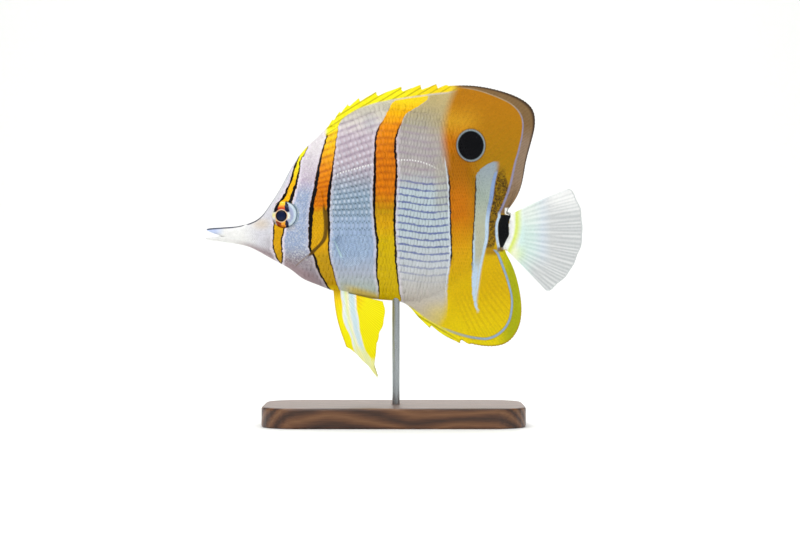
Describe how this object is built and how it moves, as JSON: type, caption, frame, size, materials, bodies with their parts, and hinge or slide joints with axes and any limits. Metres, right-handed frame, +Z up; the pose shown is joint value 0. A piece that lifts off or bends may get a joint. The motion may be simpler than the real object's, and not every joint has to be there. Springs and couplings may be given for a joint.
{
  "type": "copperband butterflyfish model on a display stand",
  "caption": "Life-size copperband butterflyfish: deep flat body, beak-like snout, orange bands, tall rear fins and an eye spot, held over a flat wooden base by a steel rod.",
  "frame": {"origin": "centre of the whole model's footprint, on the surface that the stand's base rests on", "axes": "+X from the snout towards the tail fin, +Y towards the fish's right side, +Z up through the back"},
  "size_m": [0.1509, 0.058, 0.1359],
  "materials": {
    "pearl_skin": "satin scaled skin, pearl white with a lilac and blue sheen",
    "banded_skin": "satin scaled skin, pearl grey crossed by orange bands edged in black",
    "yellow_fin": "satin fin membrane over rays, lemon yellow",
    "clear_fin": "thin milky clear fin membrane over white rays",
    "eye": "wet gloss over an orange iris and a black pupil",
    "walnut": "satin oiled dark wood",
    "steel": "fine drawn round steel rod"
  },
  "bodies": {
    "root": {"upper_jaw": "pearl_skin", "lower_jaw": "pearl_skin", "snout": "pearl_skin", "head": "pearl_skin", "gill_cover_left": "banded_skin", "gill_cover_right": "banded_skin", "eye_left": "eye", "eye_right": "eye", "trunk": "banded_skin", "tail_stalk": "banded_skin", "dorsal_fin_spiny": "yellow_fin", "dorsal_fin_soft": "banded_skin", "anal_fin_spiny": "yellow_fin", "anal_fin_soft": "yellow_fin", "caudal_fin": "clear_fin", "pectoral_fin_left": "clear_fin", "pectoral_fin_right": "clear_fin", "pelvic_fin_left": "yellow_fin", "pelvic_fin_right": "yellow_fin", "stand_base": "walnut", "stand_rod": "steel"}
  },
  "joints": []
}
